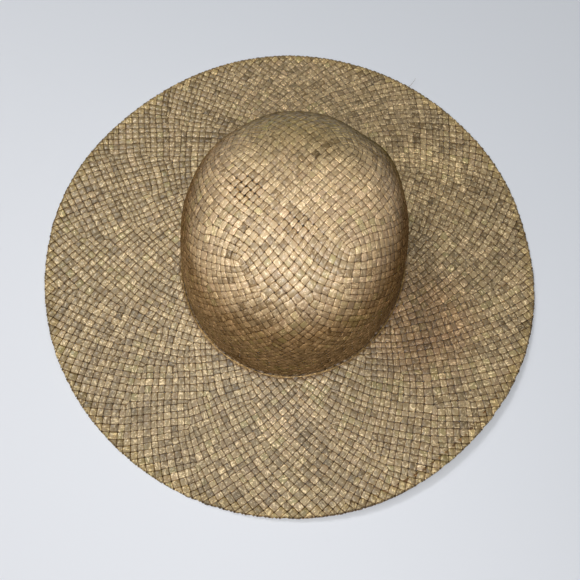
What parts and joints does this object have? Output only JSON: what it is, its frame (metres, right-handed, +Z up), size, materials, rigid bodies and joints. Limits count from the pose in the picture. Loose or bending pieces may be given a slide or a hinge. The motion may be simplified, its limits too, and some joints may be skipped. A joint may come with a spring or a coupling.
{
  "type": "wide-brimmed woven straw sun hat",
  "caption": "Wide-brimmed sun hat plaited from flat palm straw, with a domed oval crown, a seam cord at its foot and a turned border round the rim.",
  "frame": {"origin": "on the table under the middle of the hat's bounding box", "axes": "+Z up through the crown, +Y towards the back of the head, the hat's front towards -Y"},
  "size_m": [0.3994, 0.3956, 0.1151],
  "materials": {
    "plaited_straw": "flat palm strips in a plain bias plait, satin on top and dull between, tan with olive and brown strips",
    "cord_straw": "thin twisted straw strand, matt",
    "border_straw": "palm strips folded over the rim, slightly yellower, satin"
  },
  "bodies": {
    "root": {"crown": "plaited_straw", "brim": "plaited_straw", "seam_cord": "cord_straw", "rim_border": "border_straw"}
  },
  "joints": []
}
